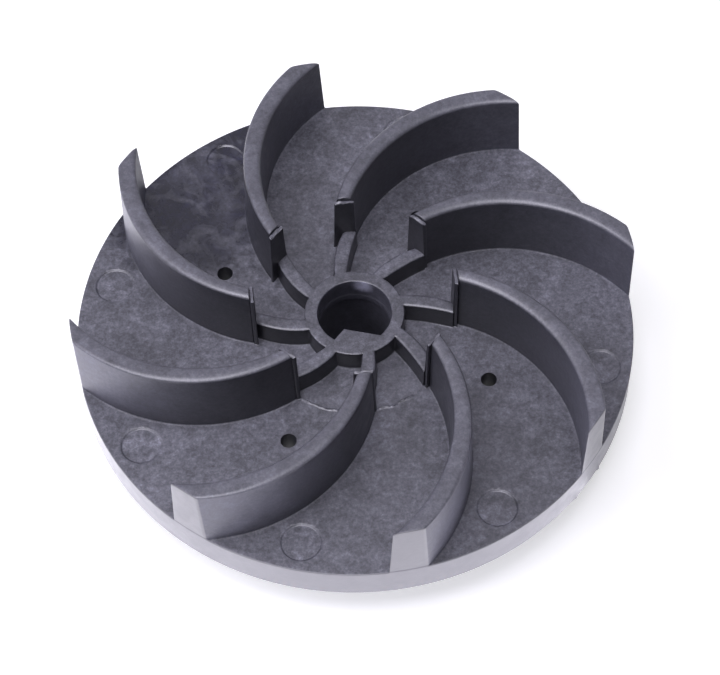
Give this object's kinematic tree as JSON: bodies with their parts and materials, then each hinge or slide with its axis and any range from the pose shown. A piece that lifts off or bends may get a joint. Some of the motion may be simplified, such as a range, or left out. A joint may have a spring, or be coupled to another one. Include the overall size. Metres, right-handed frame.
{
  "type": "pump impeller",
  "caption": "Semi-open centrifugal pump impeller: backward-curved vanes on a plain disc, a ribbed eye, and a bored hub with a flat in the bore's mouth.",
  "frame": {"origin": "centre of the back boss's face, on the shaft axis", "axes": "+Z along the shaft axis, from the back boss towards the open vanes; X and Y in the disc's plane, with one vane tip 9.6 degrees round from +X"},
  "size_m": [0.14, 0.14, 0.0393],
  "materials": {
    "moulding": "as moulded, glass-filled, slightly mottled satin"
  },
  "bodies": {
    "root": {"impeller": "moulding"}
  },
  "joints": []
}
